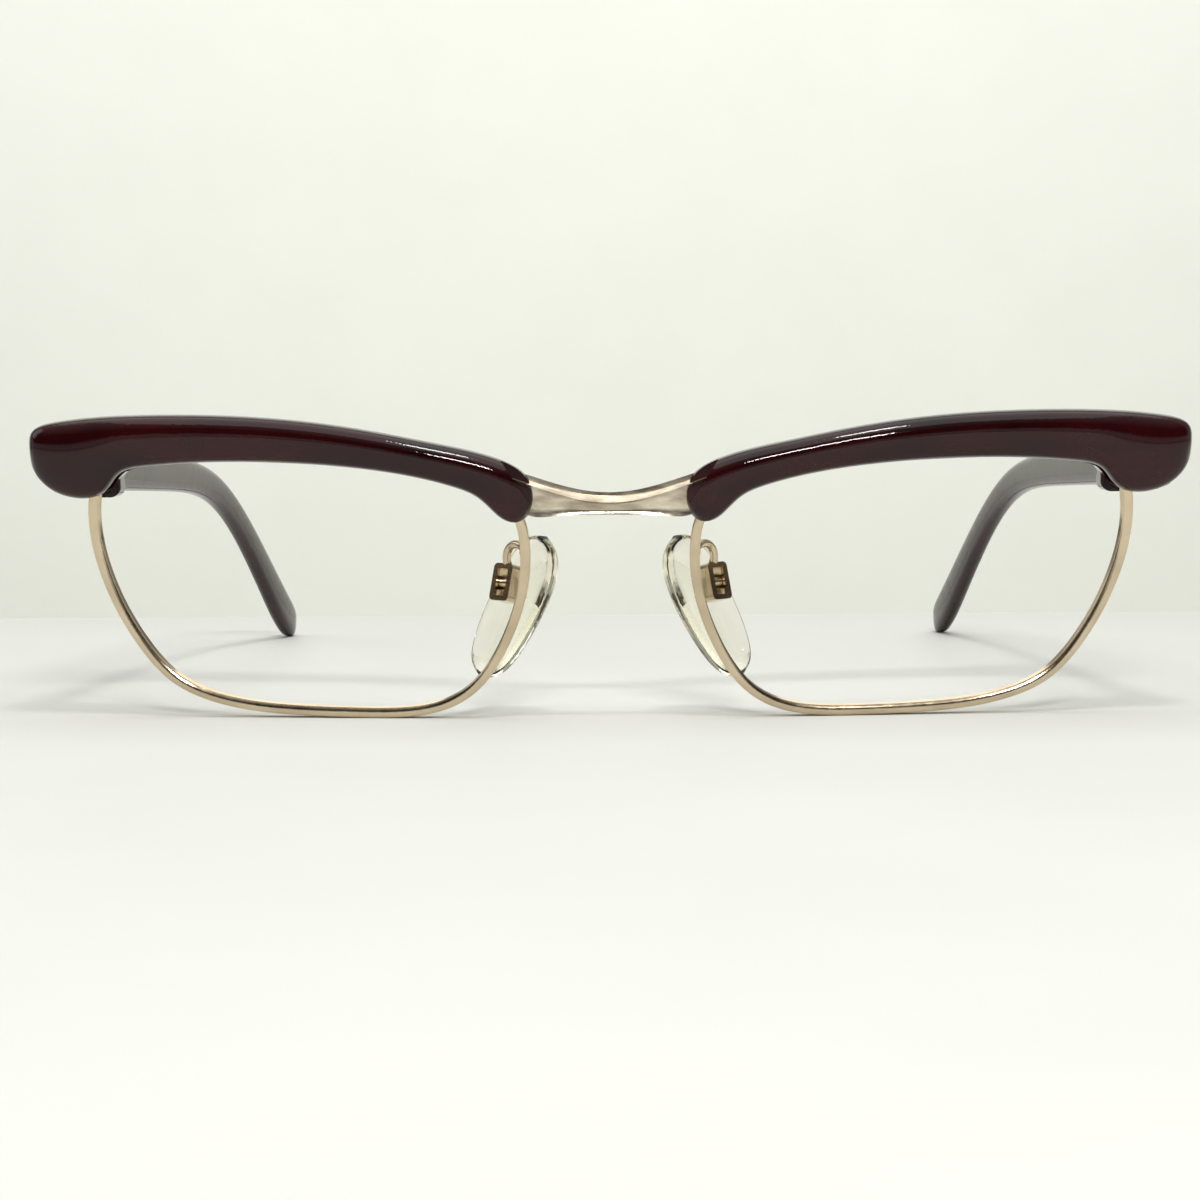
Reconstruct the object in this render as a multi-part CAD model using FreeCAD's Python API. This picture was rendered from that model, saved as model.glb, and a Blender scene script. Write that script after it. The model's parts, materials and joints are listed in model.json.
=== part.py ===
"""Browline eyeglasses frame: two grooved metal eyewires joined by a bridge, dark brow trims, folding temples
and clear nose pads on box arms. Millimetres.

+X is the wearer's left, +Y runs back towards the ears and +Z is up. The frame stands open on its two eyewires
and its two temple tips, and the origin is on that surface, in the middle of the frame's width and depth.
The wearer's left side is modelled and the right side is its mirror image.
"""
import FreeCAD, Part
import math
import os

from FreeCAD import Matrix, Placement, Rotation, Vector

# The curved, leaning front: a cylinder about a vertical axis, sheared so that its top leans forward.
FRONT_RADIUS = 300.0
LEAN_DEG = 8.0
LEAN_HEIGHT = 30.0

# Eyewire section and its centre line (x, z), from the closing block down and round the lens.
WIRE_HEIGHT = 1.15
WIRE_DEPTH = 2.4
WIRE_CROWN = 0.12
WIRE_EDGE = 0.12
GROOVE_DEPTH = 0.5
GROOVE_WIDTH = 1.8
EYEWIRE_LINE = [
    (59.65, 27.0), (60.05, 24.0), (59.75, 20.2), (58.75, 16.4), (57.3, 12.9), (55.5, 9.7),
    (53.4, 6.8), (50.9, 4.4), (47.6, 2.7), (43.6, 1.6), (37.5, 0.85), (30.0, 0.56),
    (24.5, 0.58), (20.8, 1.05), (17.8, 2.15), (15.4, 3.95), (13.2, 6.9), (11.4, 10.6),
    (10.3, 14.0), (9.75, 17.4), (9.8, 20.6), (10.6, 23.6), (12.6, 25.7), (16.0, 27.1),
    (21.0, 28.4), (27.5, 29.5), (35.0, 30.2), (43.0, 30.45), (50.0, 30.3), (55.0, 29.75),
    (57.9, 28.75), (59.3, 27.4),
]
FIT = 0.04

# Brow trim: stations of (top x, top z, bottom x, bottom z, depth in front, depth behind).
BROW_STATIONS = [
    (8.9, 24.3, 9.9, 22.8, 1.6, 1.4),
    (8.5, 25.6, 11.0, 22.5, 2.5, 2.0),
    (8.9, 27.4, 12.5, 23.05, 2.9, 2.3),
    (10.1, 28.9, 13.9, 24.55, 3.1, 2.4),
    (12.6, 30.1, 15.4, 25.95, 3.2, 2.4),
    (16.0, 31.1, 17.8, 26.8, 3.2, 2.4),
    (20.6, 32.0, 21.4, 27.8, 3.2, 2.4),
    (26.4, 33.2, 26.6, 28.75, 3.2, 2.4),
    (33.4, 34.35, 33.2, 29.45, 3.2, 2.4),
    (41.0, 35.05, 40.8, 29.8, 3.2, 2.5),
    (48.0, 35.3, 47.6, 29.75, 3.2, 3.2),
    (53.8, 35.3, 53.4, 29.3, 3.2, 5.0),
    (57.4, 35.2, 56.9, 28.9, 3.3, 6.9),
    (60.2, 35.05, 58.0, 26.3, 3.4, 7.2),
    (62.6, 34.8, 60.6, 25.3, 3.4, 7.2),
    (64.8, 34.5, 63.8, 25.8, 3.3, 6.9),
    (66.6, 34.1, 66.1, 27.2, 2.9, 6.5),
    (67.7, 33.1, 67.4, 29.2, 2.0, 5.8),
]
BROW_TIP = (9.1, 23.7, 0.0)
BROW_END = (67.85, 30.9, 1.6)
BROW_RING = [
    (0.0, -0.72), (0.1, -0.96), (0.42, -1.05), (0.72, -0.98), (0.94, -0.7), (1.0, -0.25),
    (1.0, 0.4), (0.95, 0.94), (0.5, 1.0), (0.08, 1.0), (0.0, 0.74), (0.0, 0.0),
]
NOTCH = [(12.9, 30.6), (8.3, 23.7), (5.0, 23.7), (5.0, 30.6)]
NOTCH_BACK = -0.9
LIP_X = (57.3, 62.0)
LIP_Z = (25.6, 30.0)
LIP_DEPTH = 1.7
LIP_ROUND = 1.1

# Bridge: half stations of (x, bottom, ridge, bevel top, top) heights, and the depths of its profile.
BRIDGE_HALF = [
    (0.0, 23.55, 24.95, 25.6, 26.1),
    (3.2, 23.55, 25.25, 25.85, 26.4),
    (6.4, 23.4, 26.1, 26.6, 27.2),
    (9.2, 23.5, 27.05, 27.5, 28.1),
    (11.0, 24.8, 27.7, 28.15, 28.6),
    (13.0, 26.3, 28.2, 28.6, 29.0),
]
BRIDGE_FACE = -1.3
BRIDGE_HOLLOW = -1.05
BRIDGE_RIDGE = -1.55
BRIDGE_BEVEL = -0.75
BRIDGE_GROOVE = -0.45
BRIDGE_CREST = -0.35
BRIDGE_BACK = 0.75

# Closing block: two halves brazed to the ends of the eyewire, drawn together by a screw
# that runs on into the brow.
LOCK_X = (60.35, 63.3)
LOCK_Z = (26.15, 27.1, 27.35, 28.4)
LOCK_DEPTH = 2.0
LOCK_FIT = 0.1
LOCK_SCREW_X = 62.1
LOCK_SCREW_RADIUS = 0.45
LOCK_SCREW_INTO_BROW = 2.4
LOCK_HEAD = (0.8, 0.45)

# Screws that hold the bridge lugs and the front hinge leaves from behind.
BRIDGE_SCREW = (11.6, 27.3)
BRIDGE_SCREW_SEAT = 1.7
BRIDGE_SCREW_LENGTH = 2.6
BRIDGE_SCREW_RADIUS = 0.5
BRIDGE_SCREW_HEAD = (0.85, 0.5)
LEAF_SCREW_RADIUS = 0.45
LEAF_SCREW_HEAD = (0.75, 0.35)
LEAF_SCREW_LENGTH = 2.0

# Temple hinge: five barrels on a vertical screw behind the flat butt of the brow.
BUTT_Y = 12.0
BUTT_GAP = 0.15
HINGE_X = 61.2
HINGE_Y = 13.4
HINGE_BOTTOM = 27.4
BARREL_HEIGHT = 1.2
BARREL_COUNT = 5
BARREL_RADIUS = 1.15
BARREL_GAP = 0.05
BARREL_CLEARANCE = 0.3
HINGE_PIN_RADIUS = 0.6
RUNNING_CLEARANCE = 0.05
LEAF_THICKNESS = 0.9
FRONT_LEAF_INSIDE = 57.9
FRONT_LEAF_INSET = 0.45
TEMPLE_LEAF_X = 62.0
TEMPLE_LEAF_BACK = 23.0
HINGE_HEAD = (0.95, 0.45)

# Temple: stations of (run back, centre height, height, thickness, inward drift), before
# it is turned in by its set.
TEMPLE_SET_DEG = 5.4
TEMPLE_INNER_X = 62.45
TEMPLE_STATIONS = [
    (9.6, 30.1, 8.2, 4.3, 0.0),
    (14.0, 30.0, 8.4, 4.3, 0.0),
    (21.0, 29.7, 7.9, 4.0, 0.0),
    (31.0, 29.2, 7.0, 3.5, 0.0),
    (44.0, 28.3, 6.0, 3.1, 0.0),
    (58.0, 27.4, 5.2, 2.8, 0.0),
    (71.0, 26.6, 4.6, 2.6, 0.1),
    (82.0, 25.4, 4.3, 2.4, 0.3),
    (91.0, 23.1, 4.2, 2.3, 0.6),
    (99.5, 19.2, 4.2, 2.3, 1.1),
    (108.0, 13.9, 4.5, 2.4, 1.7),
    (116.5, 8.1, 5.1, 2.5, 2.3),
    (123.5, 3.58, 5.6, 2.6, 2.7),
    (128.5, 1.25, 4.8, 2.3, 3.0),
]
TEMPLE_RING = [
    (1.0, -0.6), (1.0, 0.0), (1.0, 0.6), (0.72, 0.96), (0.0, 1.04), (-0.72, 0.96),
    (-1.0, 0.6), (-1.0, 0.0), (-1.0, -0.6), (-0.72, -0.96), (0.0, -1.04), (0.72, -0.96),
]
TEMPLE_TIP_RUN = 0.8

# Nose pad, its box and its arm. The pad turns on a cross screw in the box.
PAD_PIVOT = (11.9, 6.9, 15.3)
PAD_TILT_DEG = 26.0
PAD_PITCH_DEG = 6.0
PAD_SPLAY_DEG = 43.0
PAD_STATIONS = [
    (-11.3, 3.6, 1.3), (-9.9, 6.2, 1.8), (-6.6, 7.9, 2.2), (-2.4, 8.5, 2.4),
    (1.4, 8.3, 2.4), (3.8, 7.2, 2.2), (5.4, 5.2, 1.8), (6.2, 3.2, 1.3),
]
PAD_ENDS = (-11.8, 6.7)
PAD_RING = [
    (-0.72, 0.0), (0.0, 0.0), (0.72, 0.0), (1.0, 0.12), (1.04, 0.42), (0.9, 0.72), (0.5, 0.97), (0.0, 1.05),
    (-0.5, 0.97), (-0.9, 0.72), (-1.04, 0.42), (-1.0, 0.12),
]
PAD_BACK = 1.95
BOX_TURN_DEG = 22.0
BOX_LENGTH = 4.4
BOX_WIDTH = 3.0
BOX_DEPTH = 2.6
BOX_WALL = 0.42
BOX_WINDOW = (1.6, 3.2)
LUG_WIDTH = 2.0
LUG_LENGTH = 2.5
LUG_INTO_PAD = 0.9
PAD_SCREW_RADIUS = 0.4
PAD_SCREW_HEAD = (0.65, 0.3)
ARM_RADIUS = 0.5
ARM_LINE = [(10.1, 2.45, 18.9), (10.4, 4.2, 19.9), (11.3, 5.3, 19.9)]
ARM_END = [(-0.2, -1.25, 3.1), (-0.2, -0.75, 2.05)]

X_AXIS = Vector(1, 0, 0)
Y_AXIS = Vector(0, 1, 0)
Z_AXIS = Vector(0, 0, 1)


def front_point(x, z, depth=0.0):
    """The point of the front at x and z, that far behind the middle of the eyewires."""
    wrap = FRONT_RADIUS - math.sqrt(FRONT_RADIUS ** 2 - x ** 2)
    lean = (LEAN_HEIGHT - z) * math.tan(math.radians(LEAN_DEG))
    return Vector(x, wrap + lean + depth, z)


def box_between(low, high):
    """A box from its lowest corner to its highest one."""
    return Part.makeBox(high[0] - low[0], high[1] - low[1], high[2] - low[2], Vector(*low))


def cage_solid(rings, start, end):
    """A smooth closed solid on a cage of rings of poles, drawn together to a point at each end."""
    count = len(rings[0])
    rows = [[start] * count] + rings + [[end] * count]
    spans = len(rows) - 3
    along_mults = [4] + [1] * (spans - 1) + [4]
    surface = Part.BSplineSurface()
    surface.buildFromPolesMultsKnots(
        rows, along_mults, [1] * (count + 1), list(range(spans + 1)), list(range(count + 1)),
        False, True, 3, 3
    )
    solid = Part.Solid(Part.Shell([surface.toShape()]))
    if solid.Volume < 0:
        solid.reverse()
    return solid


def swept(points, profile, binormal):
    """A profile of points swept along a smooth line, with one of its directions held fixed."""
    line = Part.BSplineCurve()
    line.interpolate(points)
    pipe = Part.BRepOffsetAPI.MakePipeShell(Part.Wire(line.toShape()))
    pipe.setBiNormalMode(binormal)
    pipe.add(profile)
    pipe.build()
    pipe.makeSolid()
    return pipe.shape()


def slotted_screw(seat, direction, shank_radius, shank_length, head_radius, head_height):
    """A screw whose head rests on seat and whose shank runs along direction."""
    slot_width = 0.28 * head_radius
    head = Part.makeCylinder(head_radius, head_height)
    rim = [edge for edge in head.Edges if edge.BoundBox.ZMin > 0.5 * head_height and len(edge.Vertexes) == 1]
    head = head.makeFillet(0.3 * head_height, rim)
    slot_corner = Vector(-1.1 * head_radius, -slot_width / 2, 0.55 * head_height)
    slot = Part.makeBox(2.2 * head_radius, slot_width, head_height, slot_corner)
    shank = Part.makeCylinder(shank_radius, shank_length, Vector(0, 0, -shank_length))
    screw = head.cut(slot).fuse(shank).removeSplitter()
    screw.Placement = Placement(seat, Rotation(Z_AXIS, direction * -1))
    return screw


# ---------------------------------------------------------------- eyewire

def eyewire_spine():
    return [front_point(x, z) for x, z in EYEWIRE_LINE]


def frame_at_start(points):
    """The start of the eyewire's line and its outward direction, square to the line and to the depth."""
    line = Part.BSplineCurve()
    line.interpolate(points)
    tangent = line.tangent(line.FirstParameter)[0]
    outward = Y_AXIS.cross(tangent)
    outward.normalize()
    if outward.x < 0:
        outward = outward * -1
    depth = tangent.cross(outward)
    if depth.y < 0:
        depth = depth * -1
    return points[0], outward, depth


def section_wire(points, corners):
    """A closed wire of straight runs through (outward, depth) corners at the start of the line."""
    origin, outward, depth = frame_at_start(points)
    placed = [origin + outward * a + depth * b for a, b in corners]
    return Part.makePolygon(placed + placed[:1])


def eyewire():
    """The grooved eyewire, open by a narrow gap at its closing block."""
    half_h = WIRE_HEIGHT / 2
    half_d = WIRE_DEPTH / 2
    half_g = GROOVE_WIDTH / 2
    edge = WIRE_EDGE
    spine = eyewire_spine()
    origin, outward, depth = frame_at_start(spine)

    def place(a, b):
        return origin + outward * a + depth * b

    crown = Part.Arc(place(-half_h + edge, -half_d), place(0, -half_d - WIRE_CROWN),
                     place(half_h - edge, -half_d))
    rest = [
        (half_h - edge, -half_d), (half_h, -half_d + edge), (half_h, half_d - edge), (half_h - edge, half_d),
        (-half_h + edge, half_d), (-half_h, half_d - edge), (-half_h, half_g), (-half_h + GROOVE_DEPTH, 0.0),
        (-half_h, -half_g), (-half_h, -half_d + edge), (-half_h + edge, -half_d),
    ]
    edges = [crown.toShape()]
    for (a0, b0), (a1, b1) in zip(rest, rest[1:]):
        edges.append(Part.LineSegment(place(a0, b0), place(a1, b1)).toShape())
    return swept(spine, Part.Wire(Part.__sortEdges__(edges)), Y_AXIS)


def eyewire_channel():
    """The space that the brow leaves for the eyewire, open towards the lens."""
    open_side = -WIRE_HEIGHT / 2 - 1.6
    outer = WIRE_HEIGHT / 2 + FIT
    back = WIRE_DEPTH / 2 + FIT
    front = -WIRE_DEPTH / 2 - WIRE_CROWN - FIT
    spine = eyewire_spine()
    corners = [(open_side, front), (outer, front), (outer, back), (open_side, back)]
    return swept(spine, section_wire(spine, corners), Y_AXIS)


# ---------------------------------------------------------------- brow and bridge

def brow_blank():
    rings = []
    for top_x, top_z, low_x, low_z, front, behind in BROW_STATIONS:
        ring = []
        for up, across in BROW_RING:
            depth = across * (front if across < 0 else behind)
            ring.append(front_point(low_x + up * (top_x - low_x), low_z + up * (top_z - low_z), depth))
        rings.append(ring)
    return cage_solid(rings, front_point(*BROW_TIP), front_point(*BROW_END))


def bridge_bar(grow=0.0):
    """The saddle bridge: brushed face below, polished bevel above it, tapering to its waist."""
    sections = []
    for x, low, ridge, bevel, top in [(-s[0],) + s[1:] for s in reversed(BRIDGE_HALF[1:])] + BRIDGE_HALF:
        def at(z, depth):
            return front_point(x, z, depth)

        top_front = at(top + grow, BRIDGE_CREST - grow)
        top_back = at(top + grow - 0.1, BRIDGE_BACK + grow)
        low_back = at(low - grow + 0.2, BRIDGE_BACK + grow)
        low_front = at(low - grow, BRIDGE_FACE - grow)
        crease = at(ridge, BRIDGE_RIDGE - grow)
        shoulder = at(bevel, BRIDGE_BEVEL - grow)
        groove = at(bevel + 0.12, BRIDGE_GROOVE - grow)
        edges = [Part.Arc(low_front, at((low + ridge) / 2, BRIDGE_HOLLOW - grow), crease).toShape()]
        for here, there in zip([crease, shoulder, groove, top_front, top_back, low_back],
                               [shoulder, groove, top_front, top_back, low_back, low_front]):
            edges.append(Part.LineSegment(here, there).toShape())
        sections.append(Part.Wire(edges))
    return Part.makeLoft(sections, True, False)



def lock_box(low_z, high_z, grow=0.0):
    """A level slice of the closing block behind the brow, at the ends of the eyewire."""
    middle = front_point(LOCK_X[0], LOCK_Z[1]).y
    return box_between((LOCK_X[0] - grow, middle - LOCK_DEPTH / 2 - grow, low_z - grow),
                       (LOCK_X[1] + grow, middle + LOCK_DEPTH / 2 + grow, high_z + grow))


def lock_axis(z):
    return Vector(LOCK_SCREW_X, front_point(LOCK_X[0], LOCK_Z[1]).y, z)


def upright(radius, centre, low_z, high_z):
    return Part.makeCylinder(radius, high_z - low_z, Vector(centre.x, centre.y, low_z))


def lock_foot(low_z, high_z, grow=0.0):
    """The part of the closing block that reaches in to the outside of the eyewire."""
    middle = lock_axis(0).y
    return box_between((LOCK_X[0] - 1.2 - grow, middle - LOCK_DEPTH / 2 - grow, low_z - grow),
                       (LOCK_X[0] + 0.2, middle + LOCK_DEPTH / 2 + grow, high_z + grow))


def lock_half(low_z, high_z):
    """One half of the closing block, brazed to its end of the eyewire."""
    block = lock_box(low_z, high_z).fuse(lock_foot(low_z, high_z)).cut(eyewire_channel())
    block = max(block.Solids, key=lambda solid: solid.Volume)
    block = block.cut(upright(LOCK_SCREW_RADIUS, lock_axis(0), low_z - 1, high_z + 1))
    return block.removeSplitter()


def lock_screw():
    """The closing screw, its head below the lower half and its shank up through both halves into the brow."""
    return slotted_screw(lock_axis(LOCK_Z[0]), Z_AXIS, LOCK_SCREW_RADIUS,
                         LOCK_Z[3] + LOCK_SCREW_INTO_BROW - LOCK_Z[0], *LOCK_HEAD)


def bridge_screw():
    """The screw from the back of the brow into the lug of the bridge."""
    seat = front_point(*BRIDGE_SCREW, BRIDGE_SCREW_SEAT)
    return slotted_screw(seat, Y_AXIS * -1, BRIDGE_SCREW_RADIUS, BRIDGE_SCREW_LENGTH, *BRIDGE_SCREW_HEAD)


def bore(seat, direction, radius, length, head_radius, head_room):
    """The hole for a screw: its shank plus a sinking for its head."""
    shank = Part.makeCylinder(radius + FIT, length + FIT, seat, direction)
    sinking = Part.makeCylinder(head_radius + 0.1, head_room, seat, direction * -1)
    return shank.fuse(sinking)


# ---------------------------------------------------------------- hinge

def hinge_top():
    return HINGE_BOTTOM + BARREL_COUNT * BARREL_HEIGHT


def hinge_cylinder(radius, low_z, high_z):
    return upright(radius, Vector(HINGE_X, HINGE_Y, 0), low_z, high_z)


def hinge_levels(parity):
    """The (low, high) heights of every second barrel."""
    levels = []
    for index in range(parity, BARREL_COUNT, 2):
        low = HINGE_BOTTOM + index * BARREL_HEIGHT
        levels.append((low + BARREL_GAP / 2, low + BARREL_HEIGHT - BARREL_GAP / 2))
    return levels


def front_leaf_screw_seats():
    x = (FRONT_LEAF_INSIDE + HINGE_X - BARREL_RADIUS) / 2
    y = BUTT_Y - FRONT_LEAF_INSET + LEAF_THICKNESS
    return [Vector(x, y, HINGE_BOTTOM + 1.4), Vector(x, y, hinge_top() - 1.4)]


def front_hinge():
    """The hinge half on the brow: a leaf let into the butt and the odd barrels."""
    leaf_y = BUTT_Y - FRONT_LEAF_INSET
    leaf = box_between((FRONT_LEAF_INSIDE, leaf_y, HINGE_BOTTOM),
                       (HINGE_X - 0.3, leaf_y + LEAF_THICKNESS, hinge_top()))
    leaf = leaf.cut(hinge_cylinder(BARREL_RADIUS + BARREL_CLEARANCE, HINGE_BOTTOM, hinge_top()))
    for low, high in hinge_levels(0):
        link = box_between((HINGE_X - BARREL_RADIUS, leaf_y, low), (HINGE_X, HINGE_Y, high))
        leaf = leaf.fuse([link, hinge_cylinder(BARREL_RADIUS, low, high)])
    leaf = leaf.cut(hinge_cylinder(HINGE_PIN_RADIUS + FIT / 2, HINGE_BOTTOM - 1, hinge_top() + 1))
    for seat in front_leaf_screw_seats():
        leaf = leaf.cut(Part.makeCylinder(LEAF_SCREW_RADIUS + FIT, 3.0, seat, Y_AXIS * -1))
    return leaf.removeSplitter()


def front_leaf_screws():
    length = LEAF_THICKNESS + LEAF_SCREW_LENGTH
    return [slotted_screw(seat, Y_AXIS * -1, LEAF_SCREW_RADIUS, length, *LEAF_SCREW_HEAD)
            for seat in front_leaf_screw_seats()]


def hinge_screw():
    return slotted_screw(Vector(HINGE_X, HINGE_Y, hinge_top()), Z_AXIS * -1, HINGE_PIN_RADIUS,
                         hinge_top() - HINGE_BOTTOM + 0.3, *HINGE_HEAD)


def set_in(shape):
    """Turn a temple piece, made straight back, inwards about the hinge by the temple's set."""
    shape = shape.copy()
    shape.rotate(Vector(HINGE_X, HINGE_Y, 0), Z_AXIS, TEMPLE_SET_DEG)
    return shape


def temple_leaf_screw_seats():
    height = (HINGE_BOTTOM + hinge_top()) / 2
    return [Vector(TEMPLE_LEAF_X, y, height) for y in (TEMPLE_LEAF_BACK - 5.6, TEMPLE_LEAF_BACK - 1.6)]


def temple_leaf_plate(grow=0.0):
    return box_between((TEMPLE_LEAF_X - 2 * grow, HINGE_Y, HINGE_BOTTOM - grow),
                       (TEMPLE_LEAF_X + LEAF_THICKNESS + grow, TEMPLE_LEAF_BACK + grow, hinge_top() + grow))


def temple_hinge():
    """The hinge half on the temple: a leaf let into the inner face and the even barrels."""
    leaf = temple_leaf_plate()
    leaf = leaf.cut(hinge_cylinder(BARREL_RADIUS + BARREL_CLEARANCE, HINGE_BOTTOM - 1, hinge_top() + 1))
    for low, high in hinge_levels(1):
        link = box_between((HINGE_X, HINGE_Y - 0.5, low),
                           (TEMPLE_LEAF_X + 0.45, HINGE_Y + BARREL_RADIUS, high))
        root = box_between((TEMPLE_LEAF_X, HINGE_Y, low),
                           (TEMPLE_LEAF_X + LEAF_THICKNESS, HINGE_Y + 2.0, high))
        leaf = leaf.fuse([link, root, hinge_cylinder(BARREL_RADIUS, low, high)])
    leaf = leaf.cut(hinge_cylinder(HINGE_PIN_RADIUS + RUNNING_CLEARANCE, HINGE_BOTTOM - 1, hinge_top() + 1))
    for seat in temple_leaf_screw_seats():
        leaf = leaf.cut(Part.makeCylinder(LEAF_SCREW_RADIUS + FIT, 3.0, seat, X_AXIS))
    return set_in(leaf.removeSplitter())


def temple_leaf_screws():
    length = LEAF_THICKNESS + LEAF_SCREW_LENGTH
    return [set_in(slotted_screw(seat, X_AXIS, LEAF_SCREW_RADIUS, length, *LEAF_SCREW_HEAD))
            for seat in temple_leaf_screw_seats()]


# ---------------------------------------------------------------- temple

def temple():
    """The temple: deep at the butt, slim along its run, dropping behind the ear to a rounded paddle."""
    rings = []
    thickest = TEMPLE_STATIONS[0][3]
    for index, (run, middle, height, thickness, drift) in enumerate(TEMPLE_STATIONS):
        before = TEMPLE_STATIONS[max(index - 1, 0)]
        after = TEMPLE_STATIONS[min(index + 1, len(TEMPLE_STATIONS) - 1)]
        slope = math.atan2(after[1] - before[1], after[0] - before[0])
        x = TEMPLE_INNER_X + thickest / 2 - drift
        ring = []
        for across, up in TEMPLE_RING:
            rise = up * height / 2
            ring.append(Vector(x + across * thickness / 2, run - rise * math.sin(slope),
                               middle + rise * math.cos(slope)))
        rings.append(ring)
    first, last = TEMPLE_STATIONS[0], TEMPLE_STATIONS[-1]
    tip_slope = math.atan2(last[1] - TEMPLE_STATIONS[-2][1], last[0] - TEMPLE_STATIONS[-2][0])
    start = Vector(TEMPLE_INNER_X + thickest / 2, first[0] - 1, first[1])
    end = Vector(TEMPLE_INNER_X + thickest / 2 - last[4], last[0] + TEMPLE_TIP_RUN * math.cos(tip_slope),
                 last[1] + TEMPLE_TIP_RUN * math.sin(tip_slope))
    body = set_in(cage_solid(rings, start, end))
    body = body.cut(box_between((40, 0, 0), (90, BUTT_Y + BUTT_GAP, 60)))
    body = body.cut(set_in(temple_leaf_plate(FIT)))
    body = body.cut(hinge_cylinder(BARREL_RADIUS + BARREL_CLEARANCE, HINGE_BOTTOM - 0.6, hinge_top() + 0.8))
    for seat in temple_leaf_screw_seats():
        drilling = Part.makeCylinder(LEAF_SCREW_RADIUS + FIT, LEAF_THICKNESS + LEAF_SCREW_LENGTH + FIT, seat,
                                     X_AXIS)
        body = body.cut(set_in(drilling))
    return max(body.Solids, key=lambda solid: solid.Volume)


# ---------------------------------------------------------------- brow

def rear_lip():
    """The block behind the eyewire at the temple end, which carries the hinge leaf."""
    front = front_point(LIP_X[0], LIP_Z[0], LIP_DEPTH).y
    block = box_between((LIP_X[0], front, LIP_Z[0]), (LIP_X[1], BUTT_Y, LIP_Z[1]))
    low_inner = [edge for edge in block.Edges if edge.BoundBox.XMax < LIP_X[0] + 0.1
                 and edge.BoundBox.ZMax < LIP_Z[0] + 0.1 or edge.BoundBox.YMax < front + 0.1
                 and edge.BoundBox.XMax < LIP_X[0] + 0.1]
    return block.makeFillet(LIP_ROUND, low_inner)


def brow():
    """The brow trim, grooved for the eyewire, notched for the bridge and butted flat for the temple."""
    body = brow_blank().fuse(rear_lip())
    body = body.cut(box_between((40, BUTT_Y, 0), (90, 60, 60)))
    notch = Part.Face(Part.makePolygon([Vector(x, -20, z) for x, z in NOTCH + NOTCH[:1]]))
    body = body.cut(notch.extrude(Y_AXIS * (20 + front_point(NOTCH[1][0], LEAN_HEIGHT, NOTCH_BACK).y)))
    body = body.cut(eyewire_channel())
    body = body.cut(bridge_bar(FIT))
    body = body.cut(lock_box(LOCK_Z[0] - 3.0, LOCK_Z[3], LOCK_FIT))
    body = body.cut(lock_foot(LOCK_Z[0] - 3.0, LOCK_Z[3], LOCK_FIT))
    leaf_y = BUTT_Y - FRONT_LEAF_INSET
    body = body.cut(box_between((FRONT_LEAF_INSIDE - 3.0, leaf_y - FIT, HINGE_BOTTOM - FIT),
                                (HINGE_X + FIT, 60, hinge_top() + FIT)))
    drilling = Part.makeCylinder(LOCK_SCREW_RADIUS + FIT, LOCK_SCREW_INTO_BROW + FIT, lock_axis(LOCK_Z[3]))
    body = body.cut(drilling)
    body = body.cut(bore(front_point(*BRIDGE_SCREW, BRIDGE_SCREW_SEAT), Y_AXIS * -1, BRIDGE_SCREW_RADIUS,
                         BRIDGE_SCREW_LENGTH, BRIDGE_SCREW_HEAD[0], 5.0))
    for seat in front_leaf_screw_seats():
        drilling = Part.makeCylinder(LEAF_SCREW_RADIUS + FIT, LEAF_THICKNESS + LEAF_SCREW_LENGTH + FIT, seat,
                                     Y_AXIS * -1)
        body = body.cut(drilling)
    return max(body.Solids, key=lambda solid: solid.Volume)


def bridge():
    """The bridge with its lugs trimmed to the eyewires and bored for their screws."""
    bar = bridge_bar()
    for side in (1, -1):
        tools = [eyewire_channel(), bore(front_point(*BRIDGE_SCREW, BRIDGE_SCREW_SEAT), Y_AXIS * -1,
                                         BRIDGE_SCREW_RADIUS, BRIDGE_SCREW_LENGTH, BRIDGE_SCREW_HEAD[0], 5.0)]
        for tool in tools:
            bar = bar.cut(tool if side > 0 else mirrored(tool))
    return max(bar.Solids, key=lambda solid: solid.Volume)


# ---------------------------------------------------------------- nose pad

def pad_placement():
    """The pad's own axes: x across it, y out of its face towards the nose, z along it."""
    tilt, pitch, splay = [math.radians(value) for value in (PAD_TILT_DEG, PAD_PITCH_DEG, PAD_SPLAY_DEG)]
    along = Vector(-math.sin(tilt), -math.sin(pitch), math.cos(tilt))
    along.normalize()
    face = Vector(-math.cos(splay), math.sin(splay), 0)
    face = face - along * face.dot(along)
    face.normalize()
    across = face.cross(along)
    px, py, pz = PAD_PIVOT
    return Placement(Matrix(across.x, face.x, along.x, px, across.y, face.y, along.y, py,
                            across.z, face.z, along.z, pz, 0, 0, 0, 1))


def box_turn():
    """The box stands more upright than the pad: it is turned about the axis out of the pad's face."""
    return Placement(Vector(0, 0, 0), Rotation(Y_AXIS, BOX_TURN_DEG))


def placed(shape, placement):
    shape = shape.copy()
    shape.transformShape(placement.toMatrix(), False)
    return shape


def on_pad(shape):
    return placed(shape, pad_placement())


def on_box(shape):
    return placed(shape, pad_placement().multiply(box_turn()))


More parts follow.
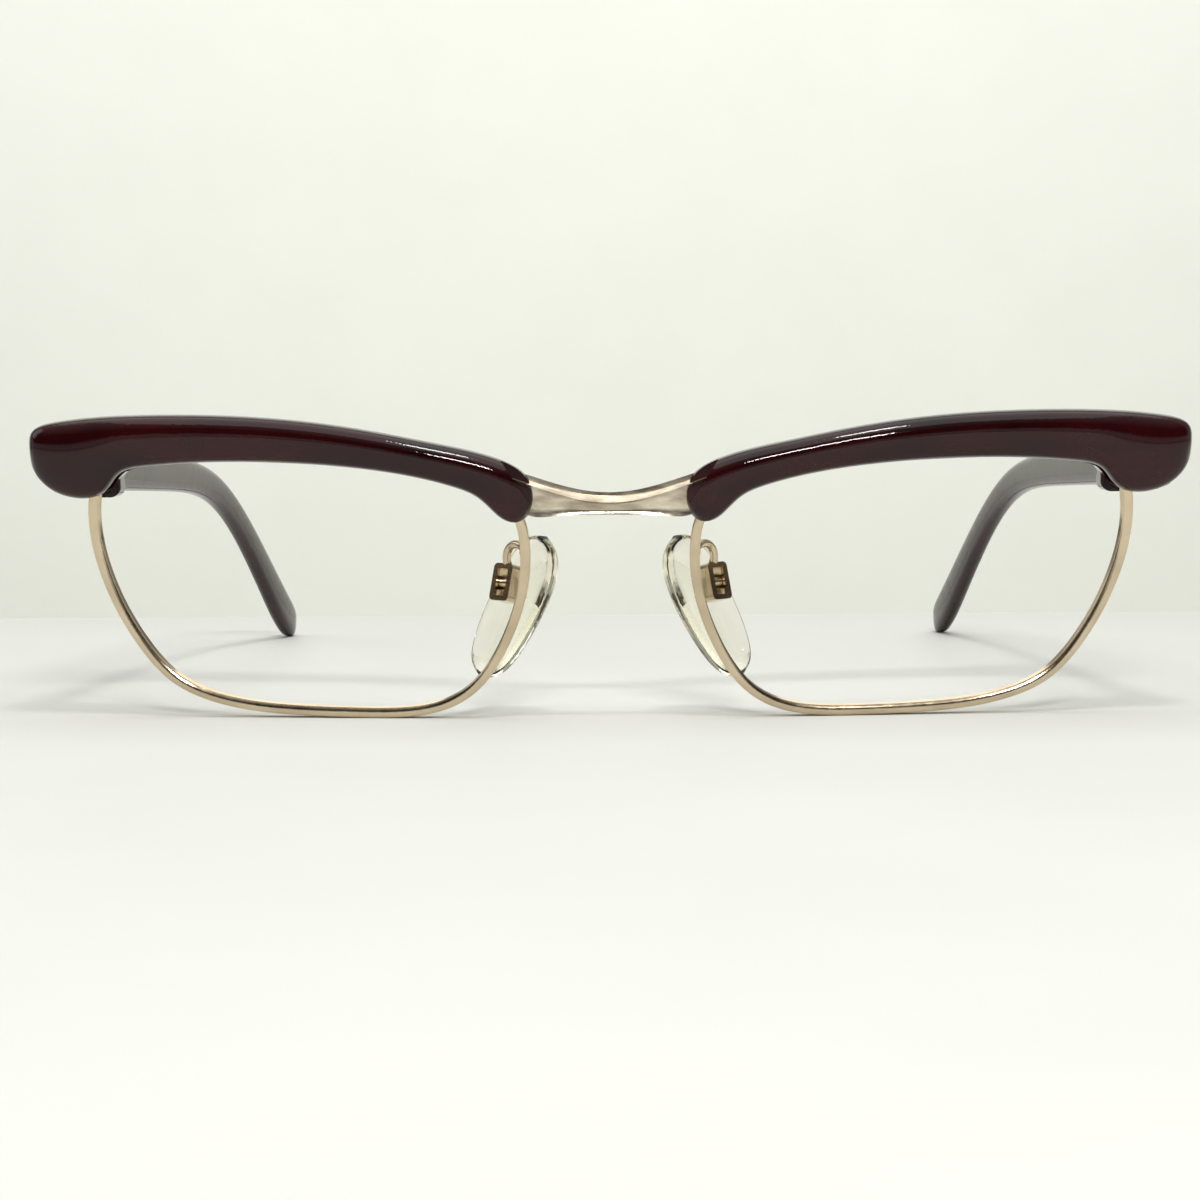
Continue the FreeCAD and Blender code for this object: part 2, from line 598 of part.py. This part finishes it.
def pad_lug(grow=0.0):
    """The metal lug cast into the pad, with the eye that turns on the pad screw."""
    half_w = LUG_WIDTH / 2 + grow
    eye_radius = 0.85 + grow
    eye = Part.makeCylinder(eye_radius, 2 * half_w, Vector(-half_w, 0, 0), X_AXIS)
    neck = box_between((-half_w, 0, -eye_radius), (half_w, PAD_BACK + 0.2, eye_radius))
    anchor = box_between((-half_w, PAD_BACK + 0.15 - grow, -LUG_LENGTH / 2 - grow),
                         (half_w, PAD_BACK + LUG_INTO_PAD + grow, LUG_LENGTH / 2 + grow))
    lug = eye.fuse([neck, anchor])
    if not grow:
        pin_start = Vector(-2 * half_w, 0, 0)
        lug = lug.cut(Part.makeCylinder(PAD_SCREW_RADIUS + RUNNING_CLEARANCE, 3 * half_w, pin_start, X_AXIS))
    return lug.removeSplitter()


def pad():
    """The clear pad: flat at the back, domed towards the nose, round at the top and long at the bottom."""
    rings = []
    for along, width, thickness in PAD_STATIONS:
        rings.append([Vector(a * width / 2, PAD_BACK + b * thickness, along) for a, b in PAD_RING])
    ends = [Vector(0, PAD_BACK + 0.5, along) for along in PAD_ENDS]
    body = cage_solid(rings, *ends)
    return body.cut(placed(pad_lug(FIT), box_turn()))


def pad_box():
    """The box that takes the lug, open towards the pad."""
    half_w, half_d, half_l = BOX_WIDTH / 2, BOX_DEPTH / 2, BOX_LENGTH / 2
    outer = box_between((-half_w, -half_d, -half_l), (half_w, half_d, half_l))
    outer = outer.makeFillet(0.55, [edge for edge in outer.Edges if edge.BoundBox.YLength > half_d])
    inner = box_between((-half_w + BOX_WALL, -half_d + BOX_WALL, -half_l + BOX_WALL),
                        (half_w - BOX_WALL, half_d + 1, half_l - BOX_WALL))
    window = box_between((-BOX_WINDOW[0] / 2, -2 * half_d, -BOX_WINDOW[1] / 2),
                         (BOX_WINDOW[0] / 2, 0, BOX_WINDOW[1] / 2))
    hole = Part.makeCylinder(PAD_SCREW_RADIUS + FIT / 2, 3 * half_w, Vector(-1.5 * half_w, 0, 0), X_AXIS)
    return outer.cut(inner).cut(window).cut(hole)


def pad_arm():
    """The arm: brazed to the back of the eyewire, looping up and over to the back of the pad's box."""
    points = [Vector(*point) for point in ARM_LINE]
    points += [pad_placement().multiply(box_turn()).multVec(Vector(*point)) for point in ARM_END]
    line = Part.BSplineCurve()
    line.interpolate(points)
    tangent = line.tangent(line.FirstParameter)[0]
    circle = Part.Wire(Part.Circle(points[0], tangent, ARM_RADIUS).toShape())
    pipe = Part.BRepOffsetAPI.MakePipeShell(Part.Wire(line.toShape()))
    pipe.add(circle)
    pipe.build()
    pipe.makeSolid()
    arm = pipe.shape().cut(eyewire_channel())
    arm = max(arm.Solids, key=lambda solid: solid.Volume)
    low = (BOX_WALL - BOX_WIDTH / 2, BOX_WALL - BOX_DEPTH / 2, BOX_WALL - BOX_LENGTH / 2)
    high = (BOX_WIDTH / 2 - BOX_WALL, BOX_DEPTH, BOX_LENGTH / 2 - BOX_WALL)
    hollow = on_box(box_between(low, high))
    return on_box(pad_box()).fuse(arm.cut(hollow)).removeSplitter()


def pad_screw():
    return on_box(slotted_screw(Vector(BOX_WIDTH / 2, 0, 0), X_AXIS * -1, PAD_SCREW_RADIUS, BOX_WIDTH,
                                *PAD_SCREW_HEAD))


# ---------------------------------------------------------------- assembly

def mirrored(shape):
    return shape.mirror(Vector(0, 0, 0), X_AXIS)


def both_sides(name, shape):
    """A left piece and its mirror image, each its own part."""
    parts["left_" + name] = [shape]
    parts["right_" + name] = [mirrored(shape)]


def one_group(name, solids):
    """Identical fasteners of both sides as one part."""
    parts[name] = solids + [mirrored(solid) for solid in solids]


def resting_shift(solids):
    """The move that puts the finished frame on the origin's surface, in the middle of its own depth."""
    boxes = [solid.optimalBoundingBox(False) for solid in solids]
    depth_middle = (min(box.YMin for box in boxes) + max(box.YMax for box in boxes)) / 2
    return Vector(0, -depth_middle, -min(box.ZMin for box in boxes))


parts = {"bridge": [bridge()]}
both_sides("eyewire", eyewire())
both_sides("brow", brow())
both_sides("lock_lower", lock_half(LOCK_Z[0], LOCK_Z[1]))
both_sides("lock_upper", lock_half(LOCK_Z[2], LOCK_Z[3]))
one_group("lock_screws", [lock_screw()])
one_group("bridge_screws", [bridge_screw()])
both_sides("front_hinge", front_hinge())
one_group("front_leaf_screws", front_leaf_screws())
one_group("hinge_screws", [hinge_screw()])
both_sides("temple", temple())
both_sides("temple_hinge", temple_hinge())
parts["left_temple_leaf_screws"] = temple_leaf_screws()
parts["right_temple_leaf_screws"] = [mirrored(screw) for screw in temple_leaf_screws()]
both_sides("pad_arm", pad_arm())
both_sides("pad", on_pad(pad()))
both_sides("pad_lug", on_box(pad_lug()))
one_group("pad_screws", [pad_screw()])

shift = resting_shift([solid for solids in parts.values() for solid in solids])
os.makedirs("parts", exist_ok=True)
for node, solids in parts.items():
    settled = []
    for solid in solids:
        placed = solid.copy()
        placed.translate(shift)
        settled.append(placed)
    shape = settled[0] if len(settled) == 1 else Part.makeCompound(settled)
    shape.exportStep("parts/%s.step" % node)
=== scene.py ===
import bpy
import json
import math
from mathutils import Matrix, Vector

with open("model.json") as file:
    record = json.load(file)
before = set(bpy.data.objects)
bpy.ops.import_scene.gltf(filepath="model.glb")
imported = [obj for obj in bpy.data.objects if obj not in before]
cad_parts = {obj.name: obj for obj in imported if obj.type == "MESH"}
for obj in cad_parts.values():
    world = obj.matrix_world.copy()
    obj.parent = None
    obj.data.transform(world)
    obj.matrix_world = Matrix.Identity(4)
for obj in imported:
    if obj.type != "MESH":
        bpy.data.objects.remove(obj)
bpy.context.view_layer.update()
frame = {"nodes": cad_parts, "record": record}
nodes = frame["nodes"]

MM = 0.001

# The table, in metres: level up to its end behind the temples, then falling gently away to the wall.
TABLE_SIDE = 3.0
TABLE_FRONT = -3.0
TABLE_END = 0.105
TABLE_DROP = 0.165
WALL_Y = 1.6
WALL_SIDE = 4.0
WALL_FOOT = -2.0
WALL_TOP = 3.0

# The camera: its place and lens in millimetres, and its turns in radians.
CAMERA_PLACE = (1.71, -404.76, 36.98)
YAW = -0.00845
PITCH = -0.06746
ROLL = -0.00658
LENS = 89.86
SENSOR_WIDTH = 36.0
NEAREST = 0.01


# ---------------------------------------------------------------- shader helpers

def material(name):
    """A new node material, with its tree and its Principled shader."""
    mat = bpy.data.materials.new(name)
    mat.use_nodes = True
    return mat, mat.node_tree, mat.node_tree.nodes["Principled BSDF"]


def object_coords(tree, scale=(1, 1, 1)):
    coords = tree.nodes.new("ShaderNodeTexCoord")
    mapping = tree.nodes.new("ShaderNodeMapping")
    mapping.inputs["Scale"].default_value = scale
    tree.links.new(coords.outputs["Object"], mapping.inputs["Vector"])
    return mapping.outputs["Vector"]


def noise(tree, vector, scale, detail=3.0, roughness=0.5):
    node = tree.nodes.new("ShaderNodeTexNoise")
    node.inputs["Scale"].default_value = scale
    node.inputs["Detail"].default_value = detail
    node.inputs["Roughness"].default_value = roughness
    tree.links.new(vector, node.inputs["Vector"])
    return node.outputs["Fac"]


def ramp(tree, fac, stops):
    """Colours at (position, colour) stops, blended along the factor."""
    node = tree.nodes.new("ShaderNodeValToRGB")
    elements = node.color_ramp.elements
    while len(elements) < len(stops):
        elements.new(0.5)
    for element, (position, color) in zip(elements, stops):
        element.position = position
        element.color = tuple(color) + (1.0,)
    tree.links.new(fac, node.inputs["Fac"])
    return node.outputs["Color"]


def span(tree, fac, low, high):
    """The factor, spread from 0..1 to low..high."""
    node = tree.nodes.new("ShaderNodeMapRange")
    node.inputs["To Min"].default_value = low
    node.inputs["To Max"].default_value = high
    tree.links.new(fac, node.inputs["Value"])
    return node.outputs["Result"]


def shifted(tree, value):
    """A direction's component, moved from -1..1 to 0..1."""
    node = tree.nodes.new("ShaderNodeMapRange")
    node.inputs["From Min"].default_value = -1.0
    tree.links.new(value, node.inputs["Value"])
    return node.outputs["Result"]


def brighter(tree, first, second):
    """Two colours screened together, which is never darker than either."""
    node = tree.nodes.new("ShaderNodeMixRGB")
    node.blend_type = "SCREEN"
    node.inputs["Fac"].default_value = 1.0
    tree.links.new(first, node.inputs["Color1"])
    tree.links.new(second, node.inputs["Color2"])
    return node.outputs["Color"]


def bump(tree, shader, height, strength, distance):
    node = tree.nodes.new("ShaderNodeBump")
    node.inputs["Strength"].default_value = strength
    node.inputs["Distance"].default_value = distance
    tree.links.new(height, node.inputs["Height"])
    tree.links.new(node.outputs["Normal"], shader.inputs["Normal"])


# ---------------------------------------------------------------- materials

def gold(name, light, dark, rough, stretch=(1, 1, 1), grain=900.0, depth=0.02):
    """Rolled gold: mottled from dark to light, with a grain in its polish whose depth is in millimetres."""
    mat, tree, shader = material(name)
    vector = object_coords(tree, stretch)
    mottle = noise(tree, vector, 160.0, detail=4.0)
    tree.links.new(ramp(tree, mottle, [(0.32, dark), (0.68, light)]), shader.inputs["Base Color"])
    shader.inputs["Metallic"].default_value = 1.0
    fine = noise(tree, vector, grain, detail=2.0)
    tree.links.new(span(tree, fine, *rough), shader.inputs["Roughness"])
    bump(tree, shader, fine, 0.25, depth * MM)
    return mat


def acetate(name, deep, red):
    """Dark burgundy acetate: cloudy depth of colour under a high polish."""
    mat, tree, shader = material(name)
    vector = object_coords(tree, (1, 2.2, 2.2))
    cloud = noise(tree, vector, 70.0, detail=5.0, roughness=0.55)
    tree.links.new(ramp(tree, cloud, [(0.3, deep), (0.75, red)]), shader.inputs["Base Color"])
    polish = noise(tree, vector, 700.0, detail=2.0)
    tree.links.new(span(tree, polish, 0.03, 0.07), shader.inputs["Roughness"])
    shader.inputs["IOR"].default_value = 1.4
    return mat


def clear_pad(name):
    """Clear, slightly yellowed plastic: the colour deepens with thickness."""
    mat, tree, shader = material(name)
    haze = noise(tree, object_coords(tree), 220.0)
    tint = ramp(tree, haze, [(0.3, (0.97, 0.96, 0.88)), (0.7, (0.995, 0.99, 0.95))])
    tree.links.new(tint, shader.inputs["Base Color"])
    tree.links.new(span(tree, haze, 0.02, 0.06), shader.inputs["Roughness"])
    shader.inputs["Transmission Weight"].default_value = 1.0
    shader.inputs["IOR"].default_value = 1.46
    absorption = tree.nodes.new("ShaderNodeVolumeAbsorption")
    absorption.inputs["Color"].default_value = (1.0, 0.93, 0.66, 1.0)
    absorption.inputs["Density"].default_value = 50.0
    tree.links.new(absorption.outputs["Volume"], tree.nodes["Material Output"].inputs["Volume"])
    return mat


def paper(name, light, dark, rough):
    """Matt paper, faintly cloudy."""
    mat, tree, shader = material(name)
    vector = object_coords(tree)
    cloud = noise(tree, vector, 14.0, detail=4.0)
    tree.links.new(ramp(tree, cloud, [(0.3, dark), (0.7, light)]), shader.inputs["Base Color"])
    tree.links.new(span(tree, noise(tree, vector, 60.0), rough, rough + 0.1), shader.inputs["Roughness"])
    shader.inputs["Specular IOR Level"].default_value = 0.02
    return mat


finishes = {
    "rolled_gold": gold("rolled_gold", (0.72, 0.60, 0.43), (0.56, 0.455, 0.32), (0.10, 0.22)),
    "bridge_gold": gold("bridge_gold", (0.80, 0.72, 0.58), (0.34, 0.28, 0.21), (0.10, 0.28),
                        stretch=(1.6, 5, 5), grain=500.0, depth=0.008),
    "screw_gold": gold("screw_gold", (0.70, 0.58, 0.40), (0.52, 0.42, 0.28), (0.15, 0.28)),
    "brow_acetate": acetate("brow_acetate", (0.008, 0.0012, 0.0016), (0.034, 0.003, 0.0045)),
    "temple_acetate": acetate("temple_acetate", (0.011, 0.002, 0.003), (0.036, 0.005, 0.007)),
    "pad_clear": clear_pad("pad_clear"),
}
for subpart in frame["record"]["subparts"]:
    mesh = nodes[subpart["node"]].data
    for index in range(len(mesh.materials)):
        mesh.materials[index] = finishes[subpart["material_slot"]]

# Where faces of the eyewires and the bridge blend into each other, the larger one sets the shading.
for name in ("left_eyewire", "right_eyewire", "bridge"):
    steady = nodes[name].modifiers.new("steady_shading", "WEIGHTED_NORMAL")
    steady.mode = "FACE_AREA"
    steady.weight = 100
    steady.keep_sharp = True


# ---------------------------------------------------------------- table and backdrop

def plane(name, corners, mat):
    mesh = bpy.data.meshes.new(name)
    mesh.from_pydata(corners, [], [tuple(range(len(corners)))])
    mesh.materials.append(mat)
    obj = bpy.data.objects.new(name, mesh)
    bpy.context.scene.collection.objects.link(obj)
    return obj


def sheet(name, half_width, low_edge, high_edge, mat):
    """A flat sheet between two level edges, each given as (y, z)."""
    low_corners = [(-half_width, *low_edge), (half_width, *low_edge)]
    high_corners = [(half_width, *high_edge), (-half_width, *high_edge)]
    return plane(name, low_corners + high_corners, mat)


table_white = paper("table_white", (0.76, 0.77, 0.74), (0.73, 0.74, 0.71), 0.5)
backdrop_white = paper("backdrop_white", (0.84, 0.85, 0.80), (0.82, 0.83, 0.78), 0.8)
floor = sheet("floor", TABLE_SIDE, (TABLE_FRONT, 0), (TABLE_END, 0), table_white)
behind = sheet("behind", TABLE_SIDE, (TABLE_END, 0), (WALL_Y, -TABLE_DROP), table_white)
wall = sheet("backdrop", WALL_SIDE, (WALL_Y, WALL_FOOT), (WALL_Y, WALL_TOP), backdrop_white)


# ---------------------------------------------------------------- lights

def soft_light(name, place, target, size, power, color):
    data = bpy.data.lights.new(name, "AREA")
    data.shape = "RECTANGLE"
    data.size, data.size_y = size
    data.energy = power
    data.color = color
    obj = bpy.data.objects.new(name, data)
    bpy.context.scene.collection.objects.link(obj)
    obj.location = place
    obj.rotation_euler = (Vector(target) - Vector(place)).to_track_quat("-Z", "Y").to_euler()


def room_light():
    """A room that is bright behind, overhead and along the horizon, and dim between them in front."""
    world = bpy.data.worlds.new("studio")
    world.use_nodes = True
    tree = world.node_tree
    coords = tree.nodes.new("ShaderNodeTexCoord")
    split = tree.nodes.new("ShaderNodeSeparateXYZ")
    tree.links.new(coords.outputs["Generated"], split.inputs["Vector"])
    back = shifted(tree, split.outputs["Y"])
    rise = shifted(tree, split.outputs["Z"])
    black = (0, 0, 0)
    pale = (0.9, 0.9, 0.87)
    depth = ramp(tree, back, [(0.45, (0.02, 0.018, 0.017)), (0.70, (0.95, 0.96, 0.92))])
    height = ramp(tree, rise, [(0.72, black), (0.9, (0.7, 0.7, 0.68))])
    level = ramp(tree, rise, [(0.40, black), (0.46, pale), (0.54, pale), (0.58, black)])
    background = tree.nodes["Background"]
    tree.links.new(brighter(tree, brighter(tree, depth, height), level), background.inputs["Color"])
    background.inputs["Strength"].default_value = 0.55
    bpy.context.scene.world = world


soft_light("overhead", (0, -0.075, 0.75), (0, -0.075, 0), (0.9, 1.05), 3.5, (1.0, 0.99, 0.96))
soft_light("key", (0.06, -0.3, 0.75), (0, -0.04, 0), (0.1, 0.1), 1.15, (1.0, 0.99, 0.96))
soft_light("strip", (0.075, -0.8, 0.47), (0, -0.06, 0.03), (0.24, 0.045), 3.0, (1.0, 0.99, 0.97))
soft_light("window", (-0.9, 0.1, 0.55), (0, 0, 0), (0.5, 0.5), 0.9, (0.97, 0.99, 1.0))
soft_light("backdrop_light", (0, 0.5, 1.0), (0, WALL_Y, 0.7), (2.0, 0.6), 18.5, (1.0, 1.0, 0.97))
room_light()
bpy.context.scene.view_settings.view_transform = "Standard"


# ---------------------------------------------------------------- camera

def camera_turn(yaw, pitch, roll):
    """The camera's rotation: yaw to the right, pitch up, then roll about its own line of sight."""
    forward = Vector((math.sin(yaw) * math.cos(pitch), math.cos(yaw) * math.cos(pitch), math.sin(pitch)))
    level = Vector((math.cos(yaw), -math.sin(yaw), 0))
    upright = level.cross(forward)
    right = level * math.cos(roll) + upright * math.sin(roll)
    up = upright * math.cos(roll) - level * math.sin(roll)
    return Matrix((right, up, -forward)).transposed().to_4x4()


camera_data = bpy.data.cameras.new("camera")
camera_data.lens = LENS
camera_data.sensor_width = SENSOR_WIDTH
camera_data.clip_start = NEAREST
camera = bpy.data.objects.new("camera", camera_data)
bpy.context.scene.collection.objects.link(camera)
camera.matrix_world = Matrix.Translation(Vector(CAMERA_PLACE) * MM) @ camera_turn(YAW, PITCH, ROLL)
bpy.context.scene.camera = camera
